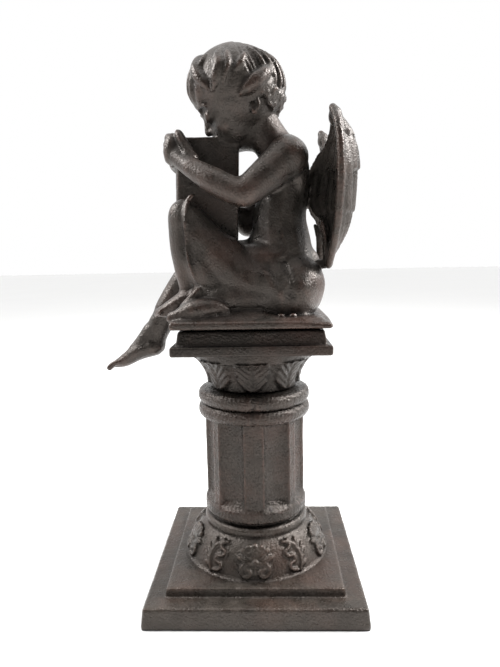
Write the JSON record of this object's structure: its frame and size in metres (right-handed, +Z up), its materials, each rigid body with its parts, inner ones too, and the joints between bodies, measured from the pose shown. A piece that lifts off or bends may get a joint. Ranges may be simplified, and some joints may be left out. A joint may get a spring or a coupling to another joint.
{
  "type": "angel statue",
  "caption": "Cast-iron angel statue: a seated winged child reads an open book on a fluted column with a leaf capital and a stepped square base; it stands freely as an ornament.",
  "frame": {"origin": "centre of the square underside of the base, on the surface it stands on", "axes": "+Z up along the column's axis; the figure faces -X and its left side is towards -Y, the side the picture shows"},
  "size_m": [0.1543, 0.1226, 0.3138],
  "materials": {
    "base_iron": "weathered, satin",
    "column_iron": "weathered, satin",
    "capital_iron": "dark patina, satin",
    "angel_iron": "dark patina, satin to glossy"
  },
  "bodies": {
    "root": {"base": "base_iron", "column": "column_iron", "capital": "capital_iron", "angel": "angel_iron"}
  },
  "joints": []
}
